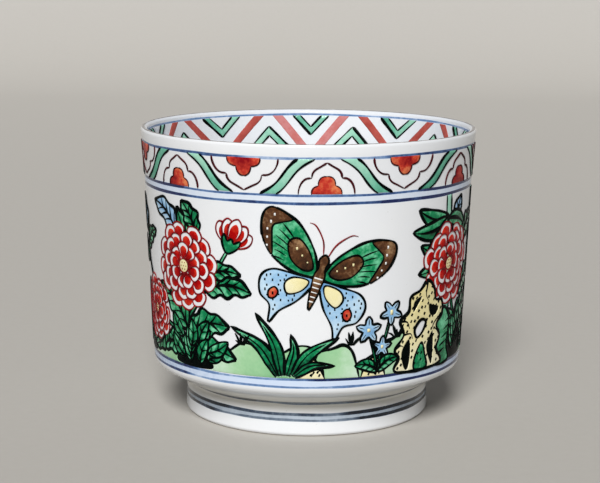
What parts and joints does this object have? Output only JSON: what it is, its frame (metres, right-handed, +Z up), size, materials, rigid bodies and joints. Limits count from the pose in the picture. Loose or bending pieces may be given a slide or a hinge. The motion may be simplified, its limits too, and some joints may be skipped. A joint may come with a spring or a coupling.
{
  "type": "tobacco ember pot",
  "caption": "Straight-sided porcelain ember pot on a recessed foot ring, holding a bed of ash with a piece of charcoal that lifts out.",
  "frame": {"origin": "centre of the flat ring that the foot stands on", "axes": "+Z up along the pot's axis, -Y towards the viewer of the picture"},
  "size_m": [0.098, 0.098, 0.084],
  "materials": {
    "porcelain": "white porcelain under a clear glossy glaze",
    "wood_ash": "fine sifted wood ash, matt",
    "charcoal": "hardwood charcoal, matt with a pale ash film on the burnt edges"
  },
  "bodies": {
    "pot": {"pot_body": "porcelain", "foot_ring": "porcelain", "ash_bed": "wood_ash"},
    "ember": {"charcoal": "charcoal"}
  },
  "joints": [
    {"name": "charcoal_lift", "type": "slide", "parent": "pot", "child": "ember", "axis": [0, 0, 1], "range_m": [0, 0.068]}
  ]
}
